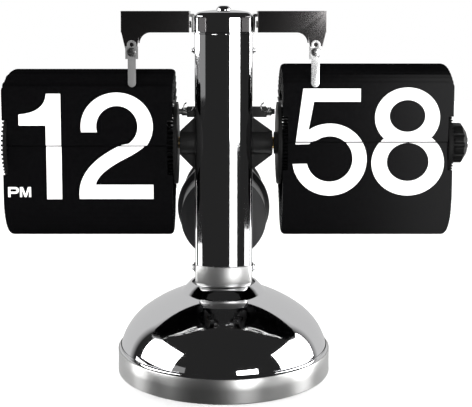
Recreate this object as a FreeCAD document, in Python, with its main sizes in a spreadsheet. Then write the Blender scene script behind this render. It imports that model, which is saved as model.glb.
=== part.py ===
import FreeCAD, Part
import math
import os
import re

# Flip number clock: two leaf drums on one line through a chrome column, which
# stands on a domed base. Millimetres, +Z up, the clock faces -Y and the
# minutes are at +X. The origin is the centre of the base's underside.

doc = FreeCAD.newDocument("flip_clock")

# ---------------------------------------------------------------- the sizes
SIZES = {
    # base
    "base_rad": 48.2, "skirt_high": 10.7, "dome_rad": 47.6, "dome_rise": 33.4,
    "dome_centre": 5.4, "shoulder_rad": 26.0, "shell_wall": 1.2, "cone_foot": 19.0, "cone_foot_high": 35.4,
    "cone_top": 14.9, "cone_high": 40.1, "bolt_rad": 2.5,
    # column
    "col_half": 12.65, "col_front": -16.1, "col_bow": 22.95, "col_back": 2.2,
    "foot_low": 40.3, "foot_high": 50.1, "head_low": 153.1, "head_high": 162.3,
    "cover_wall": 1.0, "corner_rad": 3.0, "plate_in": 9.4, "plate_out": 10.8,
    # drums
    "axis_back": -6.3, "axis_high": 104.4, "pin_circle": 15.5, "flange_rad": 18.2,
    "flange_wall": 1.5, "leaf_long": 25.5, "leaf_wide": 73.0, "leaf_thick": 0.25,
    "leaf_gap": 0.3, "split_gap": 0.35, "notch_wide": 2.2, "notch_high": 10.8,
    "front_offset": 16.4,
    "minute_in": 25.4, "minute_lead": 8.9, "hour_in": 22.0, "hour_lead": 2.6,
    "minute_count": 60, "hour_count": 48, "pin_rad": 0.45, "core_rad": 6.0,
    "shaft_rad": 1.5, "bush_rad": 2.6, "boss_rad": 5.15, "running_fit": 0.05,
    # gears
    "gear_module": 0.22, "gear_wide": 1.6, "arbor_rad": 0.55,
    # knob
    "knob_rad": 8.9, "knob_wide": 6.6, "knob_nose": 2.2, "washer_rad": 9.6,
    # arms and stop fingers
    "arm_inner": 14.5, "arm_outer": 43.6, "arm_low": 153.4, "arm_top": 162.5,
    "arm_sheet": 1.1, "arm_back": -8.0, "leg_low": 145.6, "leg_in": 37.0,
    "finger_at": 39.0, "finger_half": 2.7, "finger_low": 130.3, "tongue_half": 1.7,
    "tab_low": 142.2, "tab_high": 147.6, "finger_sheet": 0.8,
    # battery
    "cell_rad": 17.1, "cell_long": 61.5, "cell_high": 68.8, "holder_rad": 19.6,
    "holder_front": 2.4, "holder_back": 69.0, "collar_rad": 22.2, "collar_back": 29.2,
}
sheet = doc.addObject("Spreadsheet::Sheet", "Sizes")
for row, (alias, value) in enumerate(SIZES.items(), start=1):
    sheet.set(f"A{row}", alias)
    sheet.set(f"B{row}", str(value))
    sheet.setAlias(f"B{row}", alias)
doc.recompute()


def size(alias):
    return float(sheet.get(alias))


# ------------------------------------------------- pieces bound to the sheet
TURN = {
    "z": FreeCAD.Rotation(),
    "x": FreeCAD.Rotation(FreeCAD.Vector(0, 1, 0), 90),
    "y": FreeCAD.Rotation(FreeCAD.Vector(1, 0, 0), -90),
}
nodes = {}


def formula(text):
    """A formula in sheet aliases, written the way the document reads it."""
    return re.sub(r"[a-z_]+", lambda word: "Sizes." + word[0] if word[0] in SIZES else word[0], str(text))


def bind(piece, **values):
    for name, text in values.items():
        piece.setExpression(name, formula(text))
    return piece


def put(piece, at, along="z"):
    """Stand a piece at a point, with its own Z axis turned along an axis."""
    piece.Placement = FreeCAD.Placement(FreeCAD.Vector(), TURN[along])
    for letter, text in zip("xyz", at):
        piece.setExpression("Placement.Base." + letter, formula(text))
    return piece


def block(low, high):
    spans = [f"({top}) - ({base})" for base, top in zip(low, high)]
    piece = bind(doc.addObject("Part::Box", "block"), Length=spans[0], Width=spans[1], Height=spans[2])
    return put(piece, low)


def rod(radius, start, length, along):
    piece = bind(doc.addObject("Part::Cylinder", "rod"), Radius=radius, Height=length)
    return put(piece, start, along)


def cone(first, second, start, length, along):
    piece = bind(doc.addObject("Part::Cone", "cone"), Radius1=first, Radius2=second, Height=length)
    return put(piece, start, along)


def fuse(*shapes):
    piece = doc.addObject("Part::MultiFuse", "fuse")
    piece.Shapes = list(shapes)
    piece.Refine = True
    return piece


def cut(base, *tools):
    for tool in tools:
        piece = doc.addObject("Part::Cut", "cut")
        piece.Base, piece.Tool = base, tool
        base = piece
    return base


def common(*shapes):
    piece = doc.addObject("Part::MultiCommon", "common")
    piece.Shapes = list(shapes)
    return piece


def tube(outer, inner, start, length, along):
    """A ring or tube: the bore runs past both ends."""
    at = list(start)
    spot = "xyz".index(along)
    at[spot] = f"({start[spot]}) - 1"
    return cut(rod(outer, start, length, along), rod(inner, at, f"({length}) + 2", along))


def made(label, shape):
    """A piece that Part's own functions make from the sheet's values."""
    piece = doc.addObject("Part::Feature", label)
    piece.Shape = shape
    return piece


def node(label, piece):
    piece.Label = label
    nodes[label] = piece
    return piece


def side(sign, low, high):
    """The X span of something between two distances out from the column."""
    return (low, high) if sign > 0 else (f"-({high})", f"-({low})")


# ------------------------------------------------------------------ the base
# Spun steel shell: a short upright skirt, a flattened dome and a cone on top.
def base_outline(inset):
    """Half the base's section: skirt, shoulder arc, crown arc, cone, and back down the axis."""
    def at(out, high):
        return FreeCAD.Vector(out, 0, high)

    skirt, dome, rise = size("base_rad") - inset, size("dome_rad") - inset, size("dome_rise") - inset
    centre, small = size("dome_centre"), size("shoulder_rad") - inset
    step, foot, foot_high = size("skirt_high") - inset / 2, size("cone_foot"), size("cone_foot_high") - inset
    flat, cone_high = size("cone_top") - inset, size("cone_high") - inset
    large = ((dome - small) ** 2 + rise ** 2 - small ** 2) / (2 * (rise - small))

    def shoulder(angle):
        return at(dome - small + small * math.cos(angle), centre + small * math.sin(angle))

    def crown(out):
        return at(out, centre + rise - large + math.sqrt(large ** 2 - out ** 2))

    start = math.asin((step - centre) / small)
    join = math.atan2(large - rise, dome - small)
    bottom = -inset
    edges = [Part.LineSegment(at(0, bottom), at(skirt, bottom)), Part.LineSegment(at(skirt, bottom), at(skirt, step)),
             Part.LineSegment(at(skirt, step), shoulder(start)),
             Part.Arc(shoulder(start), shoulder((start + join) / 2), shoulder(join)),
             Part.Arc(shoulder(join), crown((shoulder(join).x + foot + 2) / 2), crown(foot + 2)),
             Part.LineSegment(crown(foot + 2), at(foot - 0.6, foot_high + 1.4)),
             Part.LineSegment(at(foot - 0.6, foot_high + 1.4), at(flat, cone_high)),
             Part.LineSegment(at(flat, cone_high), at(0, cone_high)),
             Part.LineSegment(at(0, cone_high), at(0, bottom))]
    face = Part.Face(Part.Wire([edge.toShape() for edge in edges]))
    return face.revolve(FreeCAD.Vector(), FreeCAD.Vector(0, 0, 1), 360)


base_hole = rod("bolt_rad + 0.1", (0, 0, "cone_high - 6"), 10, "z")
node("base_dome", cut(made("base_outside", base_outline(0)), made("base_inside", base_outline(size("shell_wall"))),
                      base_hole))
node("base_ballast", tube("base_rad - shell_wall - 1.6", 9, (0, 0, 3.2), 9, "z"))
node("foot_pad", rod("base_rad - shell_wall - 0.4", (0, 0, 0), 3.2, "z"))
node("base_bolt", fuse(rod("bolt_rad", (0, 0, "cone_high - 5"), 11, "z"),
                       rod(5, (0, 0, "cone_high - shell_wall - 4"), 4, "z")))


# ---------------------------------------------------------------- the column
# A bowed chrome front, a satin foot and a rounded chrome head share one section.
def column_section(low, high, inset):
    """The column's outline between two heights: flat sides and a bowed front."""
    return common(
        rod(f"col_bow - {inset}", (0, "col_front + col_bow", low), f"({high}) - ({low})", "z"),
        block((f"{inset} - col_half", "col_front", low), (f"col_half - {inset}", "col_back", high)))


def rounded_end(low, high, sign):
    """A block as wide as the column whose two lower (or upper) corners are round."""
    edge = f"{low} + corner_rad" if sign < 0 else f"{high} - corner_rad"
    span = (f"{low} + corner_rad", high) if sign < 0 else (low, f"{high} - corner_rad")
    corners = [rod("corner_rad", (f"{hand} * (col_half - corner_rad)", "col_front - 1", edge),
                   "col_back - col_front + 2", "y") for hand in (-1, 1)]
    return fuse(block(("-col_half", "col_front - 1", span[0]), ("col_half", "col_back + 1", span[1])),
                block(("corner_rad - col_half", "col_front - 1", low), ("col_half - corner_rad", "col_back + 1", high)),
                *corners)


boss_holes = rod("bush_rad + 1.6", (-20, "axis_back", "axis_high"), 40, "x")
SCREW_HEIGHTS = ("foot_low + 6.2", "axis_high - 10", "head_low - 8")
screw_holes = [rod(1.02, (-20, "col_back - 2.4", high), 40, "x") for high in SCREW_HEIGHTS]
node("column_cover", cut(column_section("foot_high", "head_low", 0),
                         column_section("foot_high - 1", "head_low + 1", "cover_wall"), boss_holes, *screw_holes))
node("column_foot", cut(common(column_section("foot_low", "foot_high", 0), rounded_end("foot_low", "foot_high", -1)),
                        column_section("foot_low + 3", "foot_high + 1", "cover_wall"), screw_holes[0],
                        rod("bolt_rad + 0.1", (0, 0, 30), 40, "z")))
node("column_head", cut(common(column_section("head_low", "head_high", 0), rounded_end("head_low", "head_high", 1)),
                        column_section("head_low - 1", "head_high - 2.5", "cover_wall")))
node("head_button", fuse(rod(3.3, (0, "axis_back", "head_high"), 1.2, "z"),
                         cone(3.3, 2.1, (0, "axis_back", "head_high + 1.2"), 1.4, "z")))
node("head_ring", cut(column_section("head_low - 0.7", "head_low", -0.25),
                      column_section("head_low - 2", "head_low + 2", 0)))

# Black plastic core behind the cover: a channel closed at the back.
node("column_core", cut(block(("cover_wall + 0.1 - col_half", -2, "foot_high + 0.1"),
                              ("col_half - cover_wall - 0.1", "col_back", "head_low - 0.1")),
                        block((-10, -3, "foot_high + 2"), (10, "col_back - 1.4", "head_low - 2")), *screw_holes[1:]))
node("rear_bracket", cut(block((-9, "bolt_rad + 0.2", "cone_high + 0.1"), (9, 12, "cell_high - 8")),
                         rod("holder_rad + 0.05", (0, 0, "cell_high"), 30, "y")))

screws = []
for sign in (-1, 1):
    for high, head_rad in zip(SCREW_HEIGHTS, (2.1, 1.4, 1.4)):
        for radius, near, far in ((1.0, "col_half - 2", "col_half + 0.5"), (head_rad, "col_half", "col_half + 0.9"),
                                  (f"{head_rad} * 0.65", "col_half + 0.5", "col_half + 1.6")):
            start, end = side(sign, near, far)
            screws.append(rod(radius, (start, "col_back - 2.4", high), f"{end} - ({start})", "x"))
node("cover_screws", fuse(*screws))

# ----------------------------------------------------- arms and stop fingers
ear_screws, finger_screws = [], []
for sign, hand in ((-1, "left"), (1, "right")):
    front = "axis_back - front_offset - leaf_thick / 2 - 0.1"
    web_back = f"{front} + arm_sheet"
    x_in, x_out = side(sign, "arm_inner", "arm_outer")
    flange = block((x_in, front, "arm_top - arm_sheet"), (x_out, "arm_back", "arm_top"))
    web = block((x_in, front, "arm_low"), (x_out, web_back, "arm_top - 0.2"))
    leg = doc.addObject("Part::Wedge", "leg")
    bottom_in, bottom_out = side(sign, "leg_in", "arm_outer - 2")
    top_in, top_out = side(sign, "leg_in - 1.6", "arm_outer")
    bind(leg, Xmin=bottom_in, Xmax=bottom_out, X2min=top_in, X2max=top_out, Ymin="leg_low", Ymax="arm_low + 1",
         Zmin=0, Zmax="arm_sheet", Z2min=0, Z2max="arm_sheet")
    leg.Placement = FreeCAD.Placement(FreeCAD.Vector(), FreeCAD.Rotation(FreeCAD.Vector(1, 0, 0), 90))
    leg.setExpression("Placement.Base.y", formula(web_back))
    fillet_in, fillet_out = side(sign, "leg_in - 6", "leg_in - 0.9")
    curve = f"{'-' if sign < 0 else ''}(leg_in - 6)"
    corner = cut(block((fillet_in, front, "arm_low - 4.4"), (fillet_out, web_back, "arm_low + 0.5")),
                 rod(4.6, (curve, f"{front} - 1", "arm_low - 4.6"), 5, "y"))
    eye = rod(1.2, (f"{sign} * finger_at", f"{front} - 1", "tab_low + 3"), 5, "y")
    node(f"arm_{hand}", cut(fuse(flange, web, leg, corner), eye))

    # The ear holds the arm's flange to the side of the column's head.
    ear_in, ear_out = side(sign, "col_half + 0.05", "arm_inner + 3.5")
    plate_in, plate_out = side(sign, "col_half + 0.05", "col_half + 1.35")
    node(f"head_ear_{hand}", fuse(block((plate_in, -13, "arm_low"), (plate_out, -4, "arm_top - arm_sheet - 0.05")),
                                  block((ear_in, -13, "arm_top - arm_sheet - 1.35"),
                                        (ear_out, "arm_back", "arm_top - arm_sheet - 0.05"))))
    screw_start = side(sign, "col_half + 1.4", "col_half + 3.0")[0]
    ear_screws.append(rod(1.5, (screw_start, -10, "arm_low + 3.4"), 1.6, "x"))

    face = f"{front} - finger_sheet"
    centre = f"{sign} * finger_at"
    tab = block((f"{centre} - finger_half", face, "tab_low"), (f"{centre} + finger_half", front, "tab_high"))
    loop = rod(2.0, (centre, face, "tab_high + 0.6"), "finger_sheet", "y")
    tongue = block((f"{centre} - tongue_half", face, "finger_low + tongue_half"),
                   (f"{centre} + tongue_half", front, "tab_low + 0.5"))
    tip = rod("tongue_half", (centre, face, "finger_low + tongue_half"), "finger_sheet", "y")
    slot = rod(0.9, (centre, f"{face} - 1", "tab_high + 0.7"), 5, "y")
    hole = rod(1.2, (centre, f"{face} - 1", "tab_low + 3"), 5, "y")
    node(f"stop_finger_{hand}", cut(fuse(tab, loop, tongue, tip), slot, hole))
    head = rod(1.85, (centre, f"{face} - 1.1", "tab_low + 3"), 1.1, "y")
    shank = rod(1.1, (centre, f"{face} - 0.1", "tab_low + 3"), "arm_sheet + finger_sheet + 0.1", "y")
    nut = rod(2.0, (centre, f"{web_back}", "tab_low + 3"), 1.3, "y")
    groove = block((f"{centre} - 2", f"{face} - 1.6", "tab_low + 2.7"),
                   (f"{centre} + 2", f"{face} - 0.6", "tab_low + 3.3"))
    finger_screws.append(cut(fuse(head, shank, nut), groove))
node("ear_screws", fuse(*ear_screws))
node("finger_screws", fuse(*finger_screws))

# ------------------------------------------- side bars with their end pieces
nuts, clips = [], []
for sign, hand in ((-1, "left"), (1, "right")):
    bar_end = "minute_in - 6.4" if sign > 0 else "hour_in - 5.8"
    bar_in, bar_out = side(sign, "col_half + 0.05", bar_end)
    node(f"side_bar_{hand}", block((bar_in, -9, "axis_high + 11.6"), (bar_out, -5, "axis_high + 16.2")))
    nut_start = side(sign, bar_end, f"{bar_end} + 2.2")[0]
    dome_start = side(sign, f"{bar_end} + 2.2", f"{bar_end} + 3.6")[0]
    nuts += [rod(1.9, (nut_start, -7, "axis_high + 14"), 2.2, "x"),
             rod(1.3, (dome_start, -7, "axis_high + 14"), 1.4, "x")]
    hook = bind(doc.addObject("Part::Torus", "hook"), Radius1=2.0, Radius2=0.35)
    hook.Angle3 = 250
    put(hook, (f"{sign} * ({bar_end} - 0.6)", "-9 - 0.36", "axis_high + 16.2"), "y")
    clips.append(hook)
node("bar_nuts", fuse(*nuts))
node("bar_clips", fuse(*clips))


# ------------------------------------------------------- bearings at the axis
for sign, hand in ((-1, "left"), (1, "right")):
    reach = "minute_in - 3.8" if sign > 0 else "hour_in - 2.6"
    root_in, root_out = side(sign, "col_half + 0.05", reach)
    spigot_in, spigot_out = side(sign, "plate_out + 0.05", "col_half + 0.5")
    barrel = rod("boss_rad", (root_in, "axis_back", "axis_high"), f"{root_out} - ({root_in})", "x")
    spigot = rod("bush_rad + 1.5", (spigot_in, "axis_back", "axis_high"), f"{spigot_out} - ({spigot_in})", "x")
    webs = doc.addObject("Part::Wedge", "webs")
    bind(webs, Xmin="axis_high - 12", Xmax="axis_high + 11.6", X2min="axis_high - boss_rad",
         X2max="axis_high + boss_rad", Ymin=0, Ymax=f"{reach} - col_half - 0.05", Zmin=0, Zmax=3, Z2min=0, Z2max=3)
    turn = FreeCAD.Rotation(FreeCAD.Vector(0, 0, 1), FreeCAD.Vector(sign, 0, 0), FreeCAD.Vector(0, sign, 0), "XYZ")
    webs.Placement = FreeCAD.Placement(FreeCAD.Vector(), turn)
    webs.setExpression("Placement.Base.x", formula(f"{sign} * (col_half + 0.05)"))
    webs.setExpression("Placement.Base.y", formula(f"axis_back - {sign} * 1.5"))
    bore = rod("bush_rad", (-30, "axis_back", "axis_high"), 60, "x")
    node(f"bearing_boss_{hand}", cut(fuse(barrel, spigot, webs), bore))
    bush_in, bush_out = side(sign, "plate_in", f"{reach} + 0.6")
    node(f"bearing_bush_{hand}", tube("bush_rad", "shaft_rad + running_fit", (bush_in, "axis_back", "axis_high"),
                                      f"{bush_out} - ({bush_in})", "x"))
    plate_low, plate_high = side(sign, "plate_in", "plate_out")
    node(f"side_plate_{hand}", cut(block((plate_low, -11, "axis_high - 16"), (plate_high, -2.1, "axis_high + 16")),
                                   rod("bush_rad", (-30, "axis_back", "axis_high"), 60, "x"),
                                   rod("arbor_rad + running_fit", (-30, "axis_back", "axis_high - 35 * gear_module"),
                                       60, "x")))


# ------------------------------------------------------------------ the gears
def involute(angle):
    return math.tan(angle) - angle


def gear_shape(teeth, start, width, spot, bore, first):
    """A spur gear along X whose first tooth points at an angle in the YZ plane."""
    module, pressure, flank_steps = size("gear_module"), math.radians(20), 4
    pitch, outer = teeth * module / 2, (teeth / 2 + 0.8) * module
    root, ground = pitch - 1.15 * module, pitch * math.cos(pressure)
    half_tooth = (math.pi / 2 - 0.18) / teeth + involute(pressure)
    low = max(ground, root)
    flank = []
    for step in range(flank_steps + 1):
        radius = low + (outer - low) * step / flank_steps
        flank.append((radius, half_tooth - involute(math.acos(min(1.0, ground / radius)))))
    points = []
    for tooth in range(teeth):
        middle = first + 2 * math.pi * tooth / teeth
        outline = [(root, -half_tooth)] + [(r, -a) for r, a in flank] + [(r, a) for r, a in reversed(flank)]
        for radius, angle in outline + [(root, half_tooth)]:
            points.append(FreeCAD.Vector(start, spot[0] + radius * math.cos(middle + angle),
                                         spot[1] + radius * math.sin(middle + angle)))
    face = Part.Face(Part.makePolygon(points + points[:1]))
    gear = face.extrude(FreeCAD.Vector(width, 0, 0))
    if bore:
        gear = gear.cut(Part.makeCylinder(bore, width + 2, FreeCAD.Vector(start - 1, *spot), FreeCAD.Vector(1, 0, 0)))
    return gear


drum_spot = (size("axis_back"), size("axis_high"))
idler_spot = (drum_spot[0], drum_spot[1] - 35 * size("gear_module"))
motor_spot = (drum_spot[0], drum_spot[1] + 30 * size("gear_module"))
down, up = -math.pi / 2, math.pi / 2
node("minute_pinion", made("minute_pinion_gear", gear_shape(14, 1.4, 2.0, drum_spot, 0.8, down)))
node("idler_wheel", made("idler_wheel_gear", gear_shape(56, 1.6, 1.6, idler_spot, size("arbor_rad"),
                                                        up + math.pi / 56)))
node("idler_pinion", made("idler_pinion_gear", gear_shape(10, -5.2, 2.4, idler_spot, size("arbor_rad"), up)))
node("hour_wheel", made("hour_wheel_gear", gear_shape(60, -5.0, 2.0, drum_spot, 1.2, down + math.pi / 60)))
node("drive_wheel", made("drive_wheel_gear", gear_shape(48, 5.0, 1.6, drum_spot, 1.2, up)))
node("motor_pinion", made("motor_pinion_gear", gear_shape(12, 4.8, 2.0, motor_spot, 0.5, down + math.pi / 12)))
node("idler_arbor", rod("arbor_rad", ("0.2 - plate_out", "axis_back", "axis_high - 35 * gear_module"),
                        "2 * plate_out - 0.4", "x"))
node("motor_shaft", rod(0.5, (-1.6, "axis_back", "axis_high + 30 * gear_module"), 8.6, "x"))
node("motor_case", cut(rod(4.4, (-2.4, "axis_back", "axis_high + 30 * gear_module"), 6.8, "x"),
                       rod(0.56, (-1.7, "axis_back", "axis_high + 30 * gear_module"), 10, "x")))
node("circuit_board", block((-8.5, -1.4, "axis_high + 14"), (8.5, -0.2, "axis_high + 40")))
node("drive_coil", rod(2.6, (-6, -4.4, "axis_high + 24"), 12, "x"))


# ------------------------------------------------------------------- the drums
def flange_shape(x_low, count, lead, pins_low, pins_high, bore):
    """A flange disc with one moulded pin end for each leaf."""
    wall, along = size("flange_wall"), FreeCAD.Vector(1, 0, 0)
    disc = Part.makeCylinder(size("flange_rad"), wall, FreeCAD.Vector(x_low, *drum_spot), along)
    pins = []
    for number in range(count):
        angle = math.radians(lead + 360 * number / count)
        back = drum_spot[0] - size("pin_circle") * math.cos(angle)
        high = drum_spot[1] + size("pin_circle") * math.sin(angle)
        pins.append(Part.makeCylinder(size("pin_rad"), pins_high - pins_low,
                                      FreeCAD.Vector(pins_low, back, high), along))
    hub = Part.makeCylinder(bore, wall + 2, FreeCAD.Vector(x_low - 1, *drum_spot), along)
    return disc.multiFuse(pins).cut(hub).removeSplitter()


for name, sign in (("minute", 1), ("hour", -1)):
    inner, wide, wall = size(f"{name}_in"), size("leaf_wide"), size("flange_wall")
    count, lead = int(size(f"{name}_count")), size(f"{name}_lead")
    inner_low = inner - 0.3 - wall
    outer_low = inner + wide - 0.5 - wall
    for spot, low, pins in (("inner", inner_low, (inner_low, inner - 0.15)),
                            ("outer", outer_low, (outer_low, outer_low + wall + 1.2))):
        if sign < 0:
            low, pins = -low - wall, (-pins[1], -pins[0])
        disc = flange_shape(low, count, lead, *pins, size("shaft_rad"))
        node(f"{name}_flange_{spot}", made(f"{name}_{spot}_disc", disc))
    start = side(sign, f"{name}_in - 0.25", f"{name}_in + leaf_wide - 2.05")[0]
    node(f"{name}_core", tube("core_rad", "shaft_rad", (start, "axis_back", "axis_high"), "leaf_wide - 1.8", "x"))

node("minute_shaft", cut(fuse(rod("shaft_rad", (3.5, "axis_back", "axis_high"), "minute_in + leaf_wide + 5.15", "x"),
                              rod(0.8, (0.6, "axis_back", "axis_high"), 3, "x")),
                         tube(3, 1.2, (5.0, "axis_back", "axis_high"), 1.6, "x")))
node("hour_shaft", cut(rod("shaft_rad", ("-(hour_in + leaf_wide + 0.6)", "axis_back", "axis_high"),
                           "hour_in + leaf_wide - 1.4", "x"),
                       tube(3, 1.2, (-5.0, "axis_back", "axis_high"), 2.0, "x")))

# --------------------------------------------------------------- setting knob
knob_start = "minute_in + leaf_wide + 0.9"
node("knob_washer", tube("washer_rad", "shaft_rad", (knob_start, "axis_back", "axis_high"), 1.2, "x"))
knob_low = f"{knob_start} + 1.2"
flutes = []
for number in range(12):
    angle = 2 * math.pi * number / 12
    flutes.append(rod(1.3, (f"{knob_low} - 1", f"axis_back + {math.cos(angle):.5f} * (knob_rad + 0.35)",
                            f"axis_high + {math.sin(angle):.5f} * (knob_rad + 0.35)"), "knob_wide + 3", "x"))
knob_blank = fuse(cone("knob_rad - 0.6", "knob_rad", (knob_low, "axis_back", "axis_high"), 0.6, "x"),
                  rod("knob_rad", (f"{knob_low} + 0.6", "axis_back", "axis_high"), "knob_wide - knob_nose - 0.6", "x"),
                  cone("knob_rad", "knob_rad - 3.3", (f"{knob_low} + knob_wide - knob_nose", "axis_back", "axis_high"),
                       "knob_nose", "x"))
node("set_knob", cut(knob_blank, fuse(*flutes),
                     rod("shaft_rad", (f"{knob_low} - 1", "axis_back", "axis_high"), "knob_wide + 3", "x")))
node("knob_screw", rod(2.7, (f"{knob_low} + knob_wide", "axis_back", "axis_high"), 1.1, "x"))


# ------------------------------------------------------------------ the leaves
# How far each drum's leaves lean back from upright, against the angle of their pin from the front.
LEANS = {"minute": ((0, 0), (12.8, 0), (35, 15.4), (68, 38.3), (110, 72), (150, 120), (180, 162),
                    (204, 180), (370, 180)),
         "hour": ((2.6, 0), (10.1, 4), (17.6, 14), (25.1, 19), (33, 27), (50, 38), (70, 47),
                  (87, 52), (130, 95), (165, 145), (195, 180), (370, 180))}


def leaning(name, angle):
    """The lean at a pin angle, on straight lines between the listed ones."""
    for (low, first), (high, last) in zip(LEANS[name], LEANS[name][1:]):
        if low <= angle <= high:
            return first + (last - first) * (angle - low) / (high - low)


def leaf_shape(low, angle, lean, offset, root=0.0):
    """One leaf, notched beside its pins: hung on the pin circle, leaning back, its root past the pin."""
    thick, long, wide = size("leaf_thick"), size("leaf_long"), size("leaf_wide")
    notch, step = size("notch_wide"), size("notch_high")
    turn = math.radians(angle)
    back = drum_spot[0] - size("pin_circle") * math.cos(turn) - offset
    high = drum_spot[1] + size("pin_circle") * math.sin(turn)
    outline = [(notch, -root), (wide - notch, -root), (wide - notch, step), (wide, step), (wide, long),
               (0, long), (0, step), (notch, step), (notch, -root)]
    outline = Part.makePolygon([FreeCAD.Vector(x, -thick / 2, z) for x, z in outline])
    flap = Part.Face(outline).extrude(FreeCAD.Vector(0, thick, 0))
    flap.Placement = FreeCAD.Placement(FreeCAD.Vector(low, back, high),
                                       FreeCAD.Rotation(FreeCAD.Vector(1, 0, 0), -lean))
    return flap


def leaf_pile(name, low, count, lead):
    """Every leaf behind and below the front one, each just clear of the next."""
    gap, circle = size("leaf_gap"), size("pin_circle")
    leaves, front = [], None
    for number in range(1, count):
        angle = lead + 360 * number / count
        offset = root = 0.0
        if number == count - 1:
            root = circle * (math.sin(math.radians(lead)) - math.sin(math.radians(angle))) - size("split_gap")
        if angle > 270:
            natural = -circle * math.cos(math.radians(angle))
            plane = natural if front is None else min(natural, front - gap)
            offset, front = natural - plane, plane
        leaves.append(leaf_shape(low, angle, leaning(name, angle), offset, root))
    return Part.makeCompound(leaves)


for name, sign in (("minute", 1), ("hour", -1)):
    low = size(f"{name}_in") if sign > 0 else -size(f"{name}_in") - size("leaf_wide")
    lead = size(f"{name}_lead")
    node(f"{name}_leaf_pile", made(f"{name}_pile", leaf_pile(name, low, int(size(f"{name}_count")), lead)))
    forward = size("front_offset") - size("pin_circle") * math.cos(math.radians(lead))
    node(f"{name}_front_leaf", made(f"{name}_flap", leaf_shape(low, lead, 0, forward)))

# ---------------------------------------------------------------- the battery
at_cell = (0, "holder_front", "cell_high")
node("battery_holder", cut(fuse(rod("holder_rad", at_cell, "holder_back - holder_front", "y"),
                                rod("collar_rad", (0, "collar_back", "cell_high"), 2.4, "y")),
                           rod("cell_rad + 0.5", (0, "holder_front + 1.8", "cell_high"), 100, "y")))
node("battery_contact", rod(9, (0, "holder_front + 1.85", "cell_high"), 0.7, "y"))
node("battery_cell", fuse(rod("cell_rad", (0, "holder_front + 4.2", "cell_high"), "cell_long - 1.5", "y"),
                          rod(4.75, (0, "holder_front + 2.7", "cell_high"), 1.6, "y")))
node("battery_cap", fuse(rod("holder_rad + 1.2", (0, "holder_back + 0.1", "cell_high"), 3.4, "y"),
                         rod("cell_rad + 0.2", (0, "holder_back - 1.4", "cell_high"), 1.6, "y"),
                         block((-10, "holder_back + 3.4", "cell_high - 1.2"),
                               (10, "holder_back + 5.6", "cell_high + 1.2"))))

# ------------------------------------------------------------ check and write
doc.recompute()
for piece in doc.Objects:
    if "Invalid" in piece.State or "Error" in piece.State:
        raise RuntimeError(f"{piece.Name} ({piece.Label}) is {piece.State}")
for label, piece in nodes.items():
    if piece.Shape.isNull() or not piece.Shape.isValid():
        raise RuntimeError(f"{label} has no valid shape")
os.makedirs("parts", exist_ok=True)
for label, piece in nodes.items():
    piece.Shape.exportStep(f"parts/{label}.step")
    box = piece.Shape.BoundBox
    print(f"{label:22s} solids {len(piece.Shape.Solids):3d} volume {piece.Shape.Volume:10.1f}"
          f"  x {box.XMin:7.2f} {box.XMax:7.2f}  y {box.YMin:7.2f} {box.YMax:7.2f}  z {box.ZMin:7.2f} {box.ZMax:7.2f}")
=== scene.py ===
import math

import bmesh
import bpy
from mathutils import Matrix, Vector


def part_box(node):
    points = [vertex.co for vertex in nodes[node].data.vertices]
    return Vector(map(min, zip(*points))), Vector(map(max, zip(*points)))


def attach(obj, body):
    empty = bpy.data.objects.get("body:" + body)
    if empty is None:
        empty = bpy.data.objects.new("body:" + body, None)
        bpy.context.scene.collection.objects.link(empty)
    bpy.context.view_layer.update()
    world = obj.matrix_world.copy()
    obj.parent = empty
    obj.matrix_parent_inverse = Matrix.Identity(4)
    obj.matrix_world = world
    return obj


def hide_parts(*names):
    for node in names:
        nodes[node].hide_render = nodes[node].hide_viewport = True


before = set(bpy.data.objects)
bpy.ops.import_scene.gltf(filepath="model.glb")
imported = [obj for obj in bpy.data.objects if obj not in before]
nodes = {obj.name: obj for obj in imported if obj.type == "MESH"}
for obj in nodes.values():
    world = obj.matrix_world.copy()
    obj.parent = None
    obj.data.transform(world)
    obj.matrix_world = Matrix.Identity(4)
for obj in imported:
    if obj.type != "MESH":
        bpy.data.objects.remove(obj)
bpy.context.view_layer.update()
scene = bpy.context.scene
MM = 0.001

# ---------------------------------------------------------------- camera and studio
# A long lens at the height of the clock's top, looking slightly down along +Y. The rest of
# the framing comes from the shift, so the column's edges stay nearly parallel.
camera = bpy.data.objects.new("camera", bpy.data.cameras.new("camera"))
scene.collection.objects.link(camera)
camera.location = (0, -0.4571, 0.1597)
camera.rotation_euler = (math.radians(84), 0, 0)
camera.data.lens = 77.87
camera.data.shift_x, camera.data.shift_y = 0.0262, -0.1665
camera.data.clip_start = 0.01
scene.camera = camera
scene.view_settings.view_transform = "Standard"


def shader(name, colour, rough, metallic=0.0, **sockets):
    """A material whose Principled shader has its constant values set on its own sockets."""
    material = bpy.data.materials.new(name)
    material.use_nodes = True
    bsdf = material.node_tree.nodes["Principled BSDF"]
    bsdf.inputs["Base Color"].default_value = (*colour, 1)
    bsdf.inputs["Roughness"].default_value = rough
    bsdf.inputs["Metallic"].default_value = metallic
    for socket, value in sockets.items():
        bsdf.inputs[socket.replace("_", " ")].default_value = value
    return material


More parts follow.
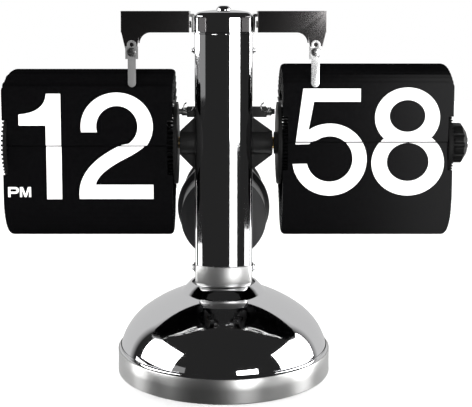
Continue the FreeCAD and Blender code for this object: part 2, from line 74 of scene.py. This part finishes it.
def grain(material, scale, rough=None, bump=0.0, stretch=(1, 1, 1), tint=None, detail=4.0):
    """Noise in the object's own metres drives roughness, a slight colour change and bump."""
    tree = material.node_tree
    bsdf = tree.nodes["Principled BSDF"]
    place = tree.nodes.new("ShaderNodeTexCoord")
    mapping = tree.nodes.new("ShaderNodeMapping")
    mapping.inputs["Scale"].default_value = stretch
    noise = tree.nodes.new("ShaderNodeTexNoise")
    noise.inputs["Scale"].default_value = scale
    noise.inputs["Detail"].default_value = detail
    tree.links.new(place.outputs["Object"], mapping.inputs["Vector"])
    tree.links.new(mapping.outputs["Vector"], noise.inputs["Vector"])
    if rough:
        span = tree.nodes.new("ShaderNodeMapRange")
        span.inputs["From Min"].default_value, span.inputs["From Max"].default_value = 0.3, 0.7
        span.inputs["To Min"].default_value, span.inputs["To Max"].default_value = rough
        tree.links.new(noise.outputs["Fac"], span.inputs["Value"])
        tree.links.new(span.outputs["Result"], bsdf.inputs["Roughness"])
    if tint:
        ramp = tree.nodes.new("ShaderNodeValToRGB")
        ramp.color_ramp.elements[0].position, ramp.color_ramp.elements[1].position = 0.3, 0.7
        ramp.color_ramp.elements[0].color = (*tint[0], 1)
        ramp.color_ramp.elements[1].color = (*tint[1], 1)
        tree.links.new(noise.outputs["Fac"], ramp.inputs["Fac"])
        tree.links.new(ramp.outputs["Color"], bsdf.inputs["Base Color"])
    if bump:
        lift = tree.nodes.new("ShaderNodeBump")
        lift.inputs["Strength"].default_value = 1.0
        lift.inputs["Distance"].default_value = bump
        tree.links.new(noise.outputs["Fac"], lift.inputs["Height"])
        tree.links.new(lift.outputs["Normal"], bsdf.inputs["Normal"])
    return material


def softbox(name, azimuth, height, distance, width, tall, power, mirrored=True):
    """A rectangular light round the clock, turned towards it. Azimuth 0 is in front, 90 at +X."""
    turn = math.radians(azimuth)
    light = bpy.data.lights.new(name, "AREA")
    light.shape, light.size, light.size_y, light.energy = "RECTANGLE", width, tall, power
    lamp = bpy.data.objects.new(name, light)
    scene.collection.objects.link(lamp)
    lamp.location = (distance * math.sin(turn), -distance * math.cos(turn), height)
    aim = Vector((0, 0, 0.08)) - lamp.location
    lamp.rotation_euler = aim.to_track_quat("-Z", "Y").to_euler()
    lamp.visible_glossy = mirrored
    lamp.visible_camera = False


softbox("left_softbox", -78, 0.40, 0.9, 0.80, 0.62, 9)
softbox("right_softbox", 88, 0.30, 0.9, 0.88, 0.62, 11)
softbox("strip_top", 25, 0.14, 0.95, 0.38, 0.30, 2.2)
softbox("strip_low", 22, -0.12, 0.95, 0.26, 0.22, 0.9)
softbox("grey_panel", -52, 0.17, 0.95, 0.36, 0.24, 0.07)
softbox("low_card_left", -56, -0.20, 0.95, 0.20, 0.10, 0.12)
softbox("low_card_right", 56, -0.19, 0.95, 0.26, 0.12, 0.18)
softbox("low_side_left", -98, -0.12, 0.9, 0.30, 0.32, 1.1)
softbox("low_side_right", 90, -0.12, 0.9, 0.34, 0.32, 1.7)
softbox("fill", -8, 0.75, 1.3, 0.8, 0.5, 20, mirrored=False)
softbox("floor_wash", 180, 1.3, 1.8, 5.0, 2.6, 120, mirrored=False)

FLOOR_HALF, FLOOR_HIGH = 1.5, -0.0002
floor_mesh = bpy.data.meshes.new("floor")
corners = ((-1, -1), (1, -1), (1, 1), (-1, 1))
floor_mesh.from_pydata([(x * FLOOR_HALF, y * FLOOR_HALF, FLOOR_HIGH) for x, y in corners], [], [(0, 1, 2, 3)])
floor = bpy.data.objects.new("floor", floor_mesh)
scene.collection.objects.link(floor)
floor_mesh.materials.append(grain(shader("pale_floor", (0.86, 0.86, 0.86), 0.6), 60, rough=(0.55, 0.7)))
floor.visible_glossy = floor.visible_shadow = False

# The room: a pale backdrop behind the clock, and dark beside it, in front of it and overhead.
world = bpy.data.worlds.new("studio")
world.use_nodes = True
scene.world = world
sky = world.node_tree
way = sky.nodes.new("ShaderNodeTexCoord")
parts = sky.nodes.new("ShaderNodeSeparateXYZ")
behind = sky.nodes.new("ShaderNodeMapRange")
behind.inputs["From Min"].default_value, behind.inputs["From Max"].default_value = 0.40, 0.56
behind.inputs["To Min"].default_value, behind.inputs["To Max"].default_value = 0.022, 0.62
seen = sky.nodes.new("ShaderNodeLightPath")
shown = sky.nodes.new("ShaderNodeMix")
sky.links.new(way.outputs["Generated"], parts.inputs["Vector"])
sky.links.new(parts.outputs["Y"], behind.inputs["Value"])
sky.links.new(seen.outputs["Is Camera Ray"], shown.inputs["Factor"])
sky.links.new(behind.outputs["Result"], shown.inputs["A"])
shown.inputs["B"].default_value = 1.0
sky.links.new(shown.outputs["Result"], sky.nodes["Background"].inputs["Color"])

# ------------------------------------------------------------------------- the base
# Spun steel, polished on the dome and cone and satin on the upright skirt. A cast weight
# and a foam pad are glued inside, and a bolt through the top holds the column.
CHROME = grain(shader("polished_chrome", (0.80, 0.80, 0.81), 0.04, 1.0), 900, rough=(0.025, 0.06), bump=2e-7)
SATIN = grain(shader("satin_steel", (0.58, 0.58, 0.575), 0.32, 1.0), 1500, rough=(0.30, 0.35), bump=6e-8,
              stretch=(1, 1, 0.1))
STEEL = grain(shader("plated_steel", (0.55, 0.55, 0.55), 0.22, 1.0), 3000, rough=(0.15, 0.3), bump=2e-7)
BLACK = grain(shader("black_plastic", (0.006, 0.006, 0.006), 0.38, Specular_IOR_Level=0.3), 4200,
              rough=(0.3, 0.42), bump=4e-7, tint=((0.006, 0.006, 0.006), (0.010, 0.010, 0.010)))


def mesh_piece(name, points, faces, materials, body, slot, stands_for=(), smooth=35):
    """A piece from points in millimetres, which rides on a body and may stand for CAD nodes."""
    mesh = bpy.data.meshes.new(name)
    mesh.from_pydata([Vector(point) * MM for point in points], [], faces)
    mesh.validate()
    for material in materials:
        mesh.materials.append(material)
    bm = bmesh.new()
    bm.from_mesh(mesh)
    bmesh.ops.recalc_face_normals(bm, faces=bm.faces)
    bm.to_mesh(mesh)
    bm.free()
    mesh.shade_smooth()
    mesh.set_sharp_from_angle(angle=math.radians(smooth))
    piece = bpy.data.objects.new(name, mesh)
    scene.collection.objects.link(piece)
    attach(piece, body)
    if stands_for:
        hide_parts(*stands_for)
    return piece


def eased(node, material, slot, body, width=0.15, segments=2):
    """A CAD node's own shape with its sharp edges rounded over."""
    bm = bmesh.new()
    bm.from_mesh(nodes[node].data)
    bmesh.ops.remove_doubles(bm, verts=bm.verts, dist=2e-6)
    bmesh.ops.dissolve_limit(bm, angle_limit=math.radians(1.0), verts=bm.verts, edges=bm.edges)
    sharp = [edge for edge in bm.edges
             if len(edge.link_faces) == 2 and edge.calc_face_angle() > math.radians(40)]
    bmesh.ops.bevel(bm, geom=sharp, offset=width * MM, offset_type="OFFSET", segments=segments, profile=0.6,
                    affect="EDGES", clamp_overlap=True)
    bmesh.ops.triangulate(bm, faces=[face for face in bm.faces if len(face.verts) > 4])
    points = [vert.co / MM for vert in bm.verts]
    for index, vert in enumerate(bm.verts):
        vert.index = index
    faces = [[vert.index for vert in face.verts] for face in bm.faces]
    bm.free()
    return mesh_piece(node + "_shown", points, faces, [material], body, slot, (node,))


def dress(material, *names):
    """Give CAD nodes whose shape is right their material."""
    for name in names:
        nodes[name].data.materials.clear()
        nodes[name].data.materials.append(material)


def arc(centre, radii, start, end, steps):
    """Points on an ellipse between two angles in degrees."""
    return [(centre[0] + radii[0] * math.cos(math.radians(start + (end - start) * k / steps)),
             centre[1] + radii[1] * math.sin(math.radians(start + (end - start) * k / steps)))
            for k in range(steps + 1)]


# The dome's section is a tight shoulder arc that runs on into a wide crown arc. They meet at
# the angle "join", and the crown arc ends where the cone's foot sits on it.
base_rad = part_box("base_dome")[1].x / MM
base_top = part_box("base_dome")[1].z / MM
dome_rad, dome_rise, dome_centre, shoulder = base_rad - 0.6, base_top - 6.7, 5.4, 26.0
crown = ((dome_rad - shoulder) ** 2 + dome_rise ** 2 - shoulder ** 2) / (2 * (dome_rise - shoulder))
join = math.degrees(math.atan2(crown - dome_rise, dome_rad - shoulder))
CROWN_STEPS, CROWN_END, ROUND = 24, 71.3, 256
crown_turns = [math.radians(90 - join - (CROWN_END - join) * k / CROWN_STEPS)
               for k in range(1, CROWN_STEPS + 1)]
skirt = [(base_rad - 1.2, 12), (base_rad - 1.2, 0.25), (base_rad - 0.95, 0.02), (base_rad - 0.25, 0.02),
         (base_rad, 0.3), (base_rad, 5.5), (base_rad, 10.3), (base_rad - 0.1, 10.5), (base_rad - 0.3, 10.56)]
dome = ([(base_rad - 0.5, 10.45), (base_rad - 0.62, 10.5)]
        + arc((dome_rad - shoulder, dome_centre), (shoulder, shoulder), 13.2, join, 40)
        + [(crown * math.sin(turn), dome_centre + dome_rise - crown + crown * math.cos(turn))
           for turn in crown_turns])
cone = [(19.2, 35.75), (18.95, 35.95), (18.7, 36.2), (17.0, 38.0), (15.3, base_top - 0.3),
        (14.9, base_top - 0.03), (14.5, base_top), (3, base_top)]
rings = [[(out * math.cos(2 * math.pi * k / ROUND), out * math.sin(2 * math.pi * k / ROUND), high)
          for k in range(ROUND)] for out, high in skirt + dome + cone]


def loft(rings, closed=True, caps=False):
    """Points and faces of a skin over rings with equal point counts."""
    count = len(rings[0])
    points = [point for ring in rings for point in ring]
    faces = []
    for row in range(len(rings) - 1):
        for k in range(count if closed else count - 1):
            after = (k + 1) % count
            faces.append((row * count + k, row * count + after,
                          (row + 1) * count + after, (row + 1) * count + k))
    if caps:
        faces.append(tuple(range(count)))
        faces.append(tuple(range((len(rings) - 1) * count, len(rings) * count)))
    return points, faces


points, faces = loft(rings)
base = mesh_piece("base_shell", points, faces, [CHROME, SATIN], "frame", "chrome", ("base_dome",), smooth=30)
SKIRT_TOP, SKIRT_INNER = 0.0106, 0.0470
for face in base.data.polygons:
    if face.center.z < SKIRT_TOP and face.center.xy.length > SKIRT_INNER:
        face.material_index = 1
CAST = grain(shader("cast_weight", (0.06, 0.06, 0.06), 0.7, 0.6), 1500, rough=(0.6, 0.85), bump=4e-6,
             tint=((0.05, 0.05, 0.05), (0.10, 0.09, 0.085)))
FOAM = grain(shader("foam_pad", (0.02, 0.02, 0.02), 0.9, Sheen_Weight=0.2), 5200,
             rough=(0.85, 1.0), bump=8e-6, tint=((0.012, 0.012, 0.012), (0.03, 0.03, 0.03)))
dress(CAST, "base_ballast")
dress(FOAM, "foot_pad")
dress(STEEL, "base_bolt")

# ----------------------------------------------------------------------- the column
# A bowed cover of polished sheet steel, folded round at its long edges, slides into a satin
# foot below and under a domed head above. A black plastic core closes its back.
cover_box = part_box("column_cover")
half, front, back = cover_box[1].x / MM, cover_box[0].y / MM, cover_box[1].y / MM
cover_low, cover_high = cover_box[0].z / MM, cover_box[1].z / MM
BOW, SHEET, FOOT_ROUND, HEAD_ROUND, HEAD_FOLD = 22.95, 1.0, 2.6, 2.8, 3.2


def section(inset, height, fold=2.4):
    """The column's outline: a bowed front, rounded long edges and straight sides."""
    wide, face, radius = half - inset, front + inset, max(fold - inset * 0.5, 0.4)
    bow = BOW - inset
    middle = (bow - radius, wide - radius)
    turn = math.degrees(math.asin(middle[1] / middle[0]))
    edge = (middle[1], face + bow - math.sqrt(middle[0] ** 2 - middle[1] ** 2))
    across = [(bow * math.sin(math.radians(a)), face + bow - bow * math.cos(math.radians(a)))
              for a in [-turn + 2 * turn * k / 28 for k in range(29)]]
    right = [(edge[0] + radius * math.sin(math.radians(a)), edge[1] - radius * math.cos(math.radians(a)))
             for a in [turn + (90 - turn) * k / 8 for k in range(1, 9)]]
    left = [(-x, y) for x, y in reversed(right)]
    sides = [(wide, 0.0), (wide, back - inset * 0.2)], [(-wide, back - inset * 0.2), (-wide, 0.0)]
    return [(x, y, height) for x, y in left + across + right + sides[0] + sides[1]]


def cover(low, high, wall, ease):
    """An open-backed shell: the outline outside, the same outline inset inside, edges eased."""
    rings = [section(inset, height) for inset, height in
             ((wall, low + ease), (wall - ease, low), (ease, low), (0, low + ease),
              (0, high - ease), (ease, high), (wall - ease, high), (wall, high - ease))]
    rings.append(rings[0])
    points, faces = loft(rings, closed=False)
    count = len(rings[0])
    for end in (0, count - 1):
        faces.append(tuple(row * count + end for row in range(len(rings) - 1)))
    return points, faces


points, faces = cover(cover_low + 0.12, cover_high, SHEET, 0.12)
mesh_piece("column_cover_shown", points, faces, [CHROME], "frame", "chrome", ("column_cover",))

foot_low, foot_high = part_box("column_foot")[0].z / MM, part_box("column_foot")[1].z / MM
outline = arc((FOOT_ROUND, foot_low + FOOT_ROUND), (FOOT_ROUND, FOOT_ROUND), 270, 180, 6)
outline += [(0, foot_high - 0.25), (0.1, foot_high - 0.05), (0.4, foot_high), (1.5, foot_high)]
points, faces = loft([section(inset, height) for inset, height in outline], caps=True)
FOOT = grain(shader("satin_foot", (0.60, 0.60, 0.595), 0.38, 1.0), 3000, rough=(0.35, 0.41), bump=1e-7)
mesh_piece("column_foot_shown", points, faces, [FOOT], "frame", "satin_steel", ("column_foot",))

head_low, head_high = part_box("column_head")[0].z / MM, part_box("column_head")[1].z / MM
outline = [(1.0, head_low + 0.02), (0.15, head_low + 0.02), (0, head_low + 0.2)]
outline += arc((HEAD_ROUND, head_high - HEAD_ROUND), (HEAD_ROUND, HEAD_ROUND), 180, 90, 10)
outline += [(5, head_high + 0.4), (8, head_high + 0.7), (11, head_high + 0.8)]
points, faces = loft([section(inset, height, HEAD_FOLD) for inset, height in outline], caps=True)
mesh_piece("column_head_shown", points, faces, [CHROME], "frame", "chrome", ("column_head",))
ring_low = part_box("head_ring")[0].z / MM
outline = [(0, ring_low), (-0.15, ring_low), (-0.3, ring_low + 0.15),
           (-0.3, head_low - 0.15), (-0.15, head_low), (0, head_low)]
points, faces = loft([section(inset, height, 3.0) for inset, height in outline])
mesh_piece("head_ring_shown", points, faces, [CHROME], "frame", "steel", ("head_ring",))
eased("head_button", CHROME, "chrome", "frame", 0.5, 4)
dress(BLACK, "column_core", "rear_bracket")
eased("cover_screws", CHROME, "steel", "frame", 0.25, 3)

# ------------------------------------------------------------ arms and stop fingers
# Pressed steel brackets plated dark gunmetal, screwed to ears on the column's head. Each
# carries a thin finger on a slotted tab that holds back the top of the front leaf.
DARK = grain(shader("gunmetal_plate", (0.26, 0.25, 0.25), 0.16, 1.0), 2400, rough=(0.12, 0.2), bump=1e-7,
             tint=((0.24, 0.23, 0.23), (0.28, 0.27, 0.27)))
# The two stop fingers are one mirrored part in one finish. The left finger's darker, duller colour is painted
# shade, and the right finger's lighter colour is a painted highlight. They are not two different platings.
FINGER_PAINTED_SHADE = grain(shader("left_finger_painted_shade", (0.20, 0.20, 0.20), 0.5, 0.6), 2600, rough=(0.42, 0.55), bump=1e-7)
FINGER_PAINTED_HIGHLIGHT = grain(shader("right_finger_painted_highlight", (0.72, 0.72, 0.72), 0.3, 0.75), 2600, rough=(0.22, 0.34), bump=1e-7)
for hand, finger in (("left", FINGER_PAINTED_SHADE), ("right", FINGER_PAINTED_HIGHLIGHT)):
    eased(f"arm_{hand}", DARK, "gunmetal", "frame", 0.5, 4)
    eased(f"head_ear_{hand}", SATIN, "chrome", "frame", 0.3, 3)
    eased(f"stop_finger_{hand}", finger, "satin_steel" if hand == "left" else "chrome", "frame", 0.12, 2)
eased("finger_screws", STEEL, "steel", "frame", 0.2, 2)
eased("ear_screws", STEEL, "steel", "frame", 0.25, 3)

# ------------------------------------------------------ side bars, bearings, plates
# Black moulded bars and bearing bosses stand out from the column's sides. Small chrome nuts
# and bent wire clips finish the bars; brass bushes carry the drum shafts.
BRASS = grain(shader("turned_brass", (0.62, 0.43, 0.17), 0.25, 1.0), 2500, rough=(0.2, 0.35), bump=2e-7)
for hand in ("left", "right"):
    eased(f"side_bar_{hand}", BLACK, "black_plastic", "frame", 0.3, 3)
    eased(f"bearing_boss_{hand}", BLACK, "black_plastic", "frame", 0.3, 3)
eased("bar_nuts", SATIN, "chrome", "frame", 0.45, 4)
dress(STEEL, "bar_clips", "side_plate_left", "side_plate_right")
dress(BRASS, "bearing_bush_left", "bearing_bush_right")

# ------------------------------------------------------------------ inside the column
# The quartz movement: a coil and a green circuit board, a stepping motor in a steel can, and
# a train of natural plastic wheels on steel arbors that turns the drums at 24 to 1.
BOARD = grain(shader("circuit_board", (0.03, 0.14, 0.06), 0.4), 900, rough=(0.3, 0.5),
              tint=((0.02, 0.10, 0.045), (0.035, 0.16, 0.07)))
COIL = grain(shader("wound_copper", (0.62, 0.28, 0.13), 0.35, 0.9), 9000,
             rough=(0.3, 0.5), bump=1e-6, stretch=(1, 0.05, 0.05))
NYLON = grain(shader("natural_nylon", (0.74, 0.71, 0.62), 0.45, Subsurface_Weight=0.1), 2500,
              rough=(0.4, 0.55), tint=((0.70, 0.67, 0.58), (0.77, 0.74, 0.66)))
dress(BOARD, "circuit_board")
dress(COIL, "drive_coil")
dress(STEEL, "motor_case", "motor_shaft", "idler_arbor", "idler_pinion", "minute_shaft", "hour_shaft")
dress(NYLON, "idler_wheel", "hour_wheel", "drive_wheel")
dress(BRASS, "minute_pinion", "motor_pinion")

# ------------------------------------------------------------------------ the drums
# Moulded black discs with a pin end for each leaf, on a tube round the steel shaft. A collar
# spaces the minutes drum from its bush. The fluted knob is held by a plated screw.
DISC = grain(shader("drum_plastic", (0.005, 0.005, 0.005), 0.45, Specular_IOR_Level=0.1), 3500,
             rough=(0.4, 0.5), bump=1e-7, tint=((0.004, 0.004, 0.004), (0.006, 0.006, 0.006)))
KNOB = grain(shader("knob_plastic", (0.005, 0.005, 0.005), 0.30, Specular_IOR_Level=0.12), 3000,
             rough=(0.26, 0.34), bump=1e-7, tint=((0.004, 0.004, 0.004), (0.007, 0.007, 0.007)))
axis_y, SHAFT_OUT, COLLAR_OUT, COLLAR_SIDES = -6.3, 1.6, 4.9, 48
axis_z = (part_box("minute_core")[0].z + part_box("minute_core")[1].z) / 2 / MM
for name in ("minute", "hour"):
    dress(DISC, f"{name}_core")
    for spot in ("inner", "outer"):
        eased(f"{name}_flange_{spot}", DISC, "black_plastic", f"{name}_drum", 0.15, 2)
collar_low, collar_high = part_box("bearing_bush_right")[1].x / MM + 0.1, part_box("minute_flange_inner")[0].x / MM
collar_turns = [2 * math.pi * k / COLLAR_SIDES for k in range(COLLAR_SIDES)]
rings = [[(along, axis_y + out * math.cos(turn), axis_z + out * math.sin(turn)) for turn in collar_turns]
         for along, out in ((collar_low, SHAFT_OUT), (collar_low, COLLAR_OUT - 0.3),
                            (collar_low + 0.2, COLLAR_OUT), (collar_high, COLLAR_OUT))]
mesh_piece("minute_collar", *loft(rings), [DISC], "minute_drum", "black_plastic")
eased("knob_washer", DISC, "black_plastic", "minute_drum", 0.25, 2)
eased("set_knob", KNOB, "knob_plastic", "minute_drum", 0.3, 3)
eased("knob_screw", STEEL, "steel", "minute_drum", 0.35, 3)

# ----------------------------------------------------------------------- the leaves
# Thin black styrene flaps, printed white on both faces. Each is notched beside its root, so
# that the discs clear it, and a small round lug on each side sits in a disc.
FLAP = grain(shader("black_styrene", (0.004, 0.004, 0.004), 0.2, Specular_IOR_Level=0.06), 900,
             rough=(0.18, 0.22), bump=5e-8, tint=((0.0016, 0.0016, 0.0018), (0.0024, 0.0024, 0.0026)))
INK = grain(shader("white_ink", (0.86, 0.86, 0.85), 0.5), 5000, rough=(0.42, 0.6), bump=2e-7,
            tint=((0.83, 0.83, 0.82), (0.88, 0.88, 0.87)))
PIN_CIRCLE, LEAF, THICK, GAP, SPLIT, NOTCH, STEP = 15.5, 25.5, 0.25, 0.3, 0.35, 2.2, 10.8
LUG_OUT, LUG_HIGH, LUG_SIDES = 0.42, 0.1, 12

# How far each drum's leaves lie back from upright, against their pin's angle from the front.
LEANS = {"minute": ((0, 0), (12.8, 0), (35, 15.4), (68, 38.3), (110, 72), (150, 120), (180, 162),
                    (204, 180), (370, 180)),
         "hour": ((2.6, 0), (10.1, 4), (17.6, 14), (25.1, 19), (33, 27), (50, 38), (70, 47),
                  (87, 52), (130, 95), (165, 145), (195, 180), (370, 180))}


def leaning(name, angle):
    """How far a leaf lies back from upright when its pin stands at an angle from the front."""
    for (low, first), (high, last) in zip(LEANS[name], LEANS[name][1:]):
        if low <= angle <= high:
            return first + (last - first) * (angle - low) / (high - low)


def flap(wide, lugs, root=0.0):
    """One leaf lying in its own XZ plane, hung at its pin line, with a lug at each side."""
    edge = [(NOTCH, STEP - 0.3), (NOTCH - 0.3, STEP), (0, STEP), (0, LEAF - 1.8), (0.25, LEAF - 0.9),
            (0.9, LEAF - 0.25), (1.8, LEAF)]
    outline = [(NOTCH, -root), (wide - NOTCH, -root)] + [(wide - x, z) for x, z in edge] + edge[::-1]
    count = len(outline)
    points = [(x, side * THICK / 2, z) for side in (-1, 1) for x, z in outline]
    faces = [tuple(range(count)), tuple(range(2 * count - 1, count - 1, -1))]
    faces += [(k, (k + 1) % count, count + (k + 1) % count, count + k) for k in range(count)]
    for start, end in ((NOTCH - lugs[0], NOTCH), (wide - NOTCH, wide - NOTCH + lugs[1])):
        first = len(points)
        turns = [2 * math.pi * k / LUG_SIDES for k in range(LUG_SIDES)]
        for x in (start, end):
            points += [(x, LUG_OUT * math.cos(turn), LUG_OUT * math.sin(turn) + LUG_HIGH) for turn in turns]
        second = first + LUG_SIDES
        faces += [(first + k, first + (k + 1) % LUG_SIDES, second + (k + 1) % LUG_SIDES, second + k)
                  for k in range(LUG_SIDES)]
        faces += [tuple(range(second - 1, first - 1, -1)), tuple(range(second, second + LUG_SIDES))]
    return points, faces


def hang(points, low, back, high, lean):
    """Move a leaf's points to its place: lean is the angle it lies back from upright."""
    turn = math.radians(lean)
    return [(low + x, back + y * math.cos(turn) + z * math.sin(turn),
             high - y * math.sin(turn) + z * math.cos(turn)) for x, y, z in points]


for name, count, lead, lugs in (("minute", 60, 8.9, (2.3, 0.5)), ("hour", 48, 2.6, (0.5, 2.3))):
    leaf_low, leaf_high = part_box(f"{name}_front_leaf")
    low, wide = leaf_low.x / MM, (leaf_high.x - leaf_low.x) / MM
    pile, skins, plane = [], [], None
    for number in range(1, count):
        angle = lead + 360 * number / count
        offset = root = 0.0
        if number == count - 1:
            root = PIN_CIRCLE * (math.sin(math.radians(lead)) - math.sin(math.radians(angle))) - SPLIT
        if angle > 270:
            natural = -PIN_CIRCLE * math.cos(math.radians(angle))
            plane = natural if plane is None else min(natural, plane - GAP)
            offset = natural - plane
        points, faces = flap(wide, lugs, root)
        place = (axis_y - PIN_CIRCLE * math.cos(math.radians(angle)) - offset,
                 axis_z + PIN_CIRCLE * math.sin(math.radians(angle)))
        skins += [[index + len(pile) for index in face] for face in faces]
        pile += hang(points, low, *place, leaning(name, angle))
    mesh_piece(f"{name}_leaves", pile, skins, [FLAP], "frame", "leaf_plastic", (f"{name}_leaf_pile",))
    points, faces = flap(wide, lugs)
    points = hang(points, low, (leaf_low.y + leaf_high.y) / 2 / MM, leaf_low.z / MM, 0)
    mesh_piece(f"{name}_leaf", points, faces, [FLAP], f"{name}_leaf", "leaf_plastic", (f"{name}_front_leaf",))

# --------------------------------------------------------------------- the numerals
# Screen-printed white numerals, each cut in two at the split between the upper and the lower
# leaf. The next number's lower half is on the front leaf's back. The leaf behind is blank.
def curve(first, handle, last, steps=8):
    """A parabola from one point to another, bent towards a handle."""
    spots = [k / steps for k in range(steps + 1)]
    return [((1 - t) ** 2 * first[0] + 2 * t * (1 - t) * handle[0] + t * t * last[0],
             (1 - t) ** 2 * first[1] + 2 * t * (1 - t) * handle[1] + t * t * last[1]) for t in spots]


ONE = [[(-0.2, -23.4), (6.3, -23.4), (6.3, 22.3), (0.2, 22.3)]
       + curve((0.2, 22.3), (-0.4, 14.2), (-11.7, 13.4))[1:] + [(-11.7, 8.7), (-0.2, 8.7)]]
TWO = [arc((0.35, 8.2), (15.45, 14.6), 189.5, -34, 40) + curve((12.4, -0.2), (9.5, -2.9), (3.1, -6.1))
       + curve((3.1, -6.1), (-8.2, -12.0), (-9.0, -17.1))[1:] + [(15.8, -17.1), (15.8, -23.3), (-16, -23.3)]
       + curve((-16, -23.3), (-17.7, -9.1), (2.2, 0.2), 14)[1:] + arc((0.4, 8.2), (8.85, 8.9), -56, 195.6, 34)]
FIVE = [arc((0, -7.8), (16, 15.65), 187, 485, 40)
        + [(-6.9, 17.2), (13, 17.2), (13, 22.8), (-11.5, 22.8), (-14.7, -1.2), (-8.9, -1.1), (-7.6, 0.1)]
        + arc((0, -7.5), (9.9, 9.9), 124, -168, 36)]
EIGHT = [arc((-0.5, 10.4), (13.9, 12.9), -43.2, 223.2, 34) + arc((0, -9.2), (15.6, 14.2), 131.1, 408.9, 36),
         arc((-0.5, 11.1), (7.65, 6.86), 0, 360, 32)[:-1], arc((0, -8.8), (9.0, 8.3), 0, 360, 32)[:-1]]
NINE = [arc((0, -1), (15.6, 22.4), 207, 358, 24) + arc((0, 9), (15.6, 14.3), 2, 303, 34)
        + arc((0, -1), (9.4, 16.6), -16, -153, 20), arc((-0.1, 9.3), (9.2, 8.2), 0, 360, 30)[:-1]]
LETTER_P = [[(0, 0), (1, 0), (1, 1.5), (3.2, 1.5)] + arc((3.2, 2.95), (1.5, 1.45), -90, 90, 10) + [(0, 4.4)],
            [(1, 2.4), (3.1, 2.4)] + arc((3.1, 2.95), (0.55, 0.55), -90, 90, 8) + [(1, 3.5)]]
LETTER_M = [[(0, 0), (0.9, 0), (0.9, 3.0), (2.0, 0), (2.8, 0), (3.9, 3.0), (3.9, 0), (4.8, 0),
             (4.8, 4.4), (3.5, 4.4), (2.4, 1.4), (1.3, 4.4), (0, 4.4)]]
UPPER_CUT, LOWER_CUT, FILM = 0.12, -0.5, 0.03


def printed(name, shapes, split, face_y, body, upper, turned=False):
    """White ink on a leaf: each shape's outlines, cut at the split, as a thin raised film."""
    bm = bmesh.new()
    for outlines, across in shapes:
        part = bmesh.new()
        for outline in outlines:
            ring = [part.verts.new((across + x, 0, z)) for x, z in dict.fromkeys(outline)]
            for k, vert in enumerate(ring):
                part.edges.new((vert, ring[(k + 1) % len(ring)]))
        bmesh.ops.triangle_fill(part, edges=part.edges, use_beauty=True, use_dissolve=False)
        bmesh.ops.bisect_plane(part, geom=part.verts[:] + part.edges[:] + part.faces[:],
                               plane_co=(0, 0, UPPER_CUT if upper else LOWER_CUT),
                               plane_no=(0, 0, -1 if upper else 1), clear_outer=True)
        film = bpy.data.meshes.new("film")
        part.to_mesh(film)
        part.free()
        bm.from_mesh(film)
        bpy.data.meshes.remove(film)
    for face in bm.faces:
        if (face.normal.y > 0) != turned:
            face.normal_flip()
    lifted = bmesh.ops.extrude_face_region(bm, geom=bm.faces[:])
    for vert in lifted["geom"]:
        if isinstance(vert, bmesh.types.BMVert):
            vert.co.y += FILM if turned else -FILM
    points = []
    for index, vert in enumerate(bm.verts):
        vert.index = index
        x, y, z = vert.co
        points.append((x, face_y + y, split - z if turned else split + z))
    faces = [[vert.index for vert in face.verts] for face in bm.faces]
    bm.free()
    return mesh_piece(name, points, faces, [INK], body, "leaf_plastic")


MINUTE_NOW, MINUTE_NEXT = [(FIVE, 45.5), (EIGHT, 79.1)], [(FIVE, 45.5), (NINE, 79.1)]
HOUR_NOW, HOUR_NEXT = [(ONE, -76.0), (TWO, -46.1)], [(ONE, -56.0)]
PM = [([[(x, z - 22.5) for x, z in ring] for ring in letter], across) for letter, across in
      ((LETTER_P, -93.0), (LETTER_M, -87.9))]
for name, now, after in (("minute", MINUTE_NOW, MINUTE_NEXT), ("hour", HOUR_NOW + PM, HOUR_NEXT + PM)):
    leaf_low, leaf_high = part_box(f"{name}_front_leaf")
    split = leaf_low.z / MM
    printed(f"{name}_print_upper", now, split, leaf_low.y / MM, f"{name}_leaf", True)
    printed(f"{name}_print_back", after, split, leaf_high.y / MM, f"{name}_leaf", False, turned=True)
    printed(f"{name}_print_lower", now, split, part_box(f"{name}_leaf_pile")[0].y / MM, "frame", False)

# ---------------------------------------------------------------------- the battery
# A black moulded tube behind the column takes one round cell, with a brass contact at its
# front and a cap with a coin bar at its back.
TUBE = grain(shader("tube_plastic", (0.018, 0.018, 0.019), 0.34), 3800, rough=(0.28, 0.42), bump=2e-7,
             tint=((0.014, 0.014, 0.015), (0.022, 0.022, 0.023)))
WRAP = grain(shader("cell_wrap", (0.10, 0.10, 0.11), 0.3, 0.5), 1200, rough=(0.22, 0.34),
             tint=((0.09, 0.09, 0.10), (0.12, 0.12, 0.13)))
eased("battery_holder", TUBE, "black_plastic", "frame", 0.4, 3)
eased("battery_cap", TUBE, "black_plastic", "battery_door", 0.4, 3)
dress(BRASS, "battery_contact")
dress(WRAP, "battery_cell")
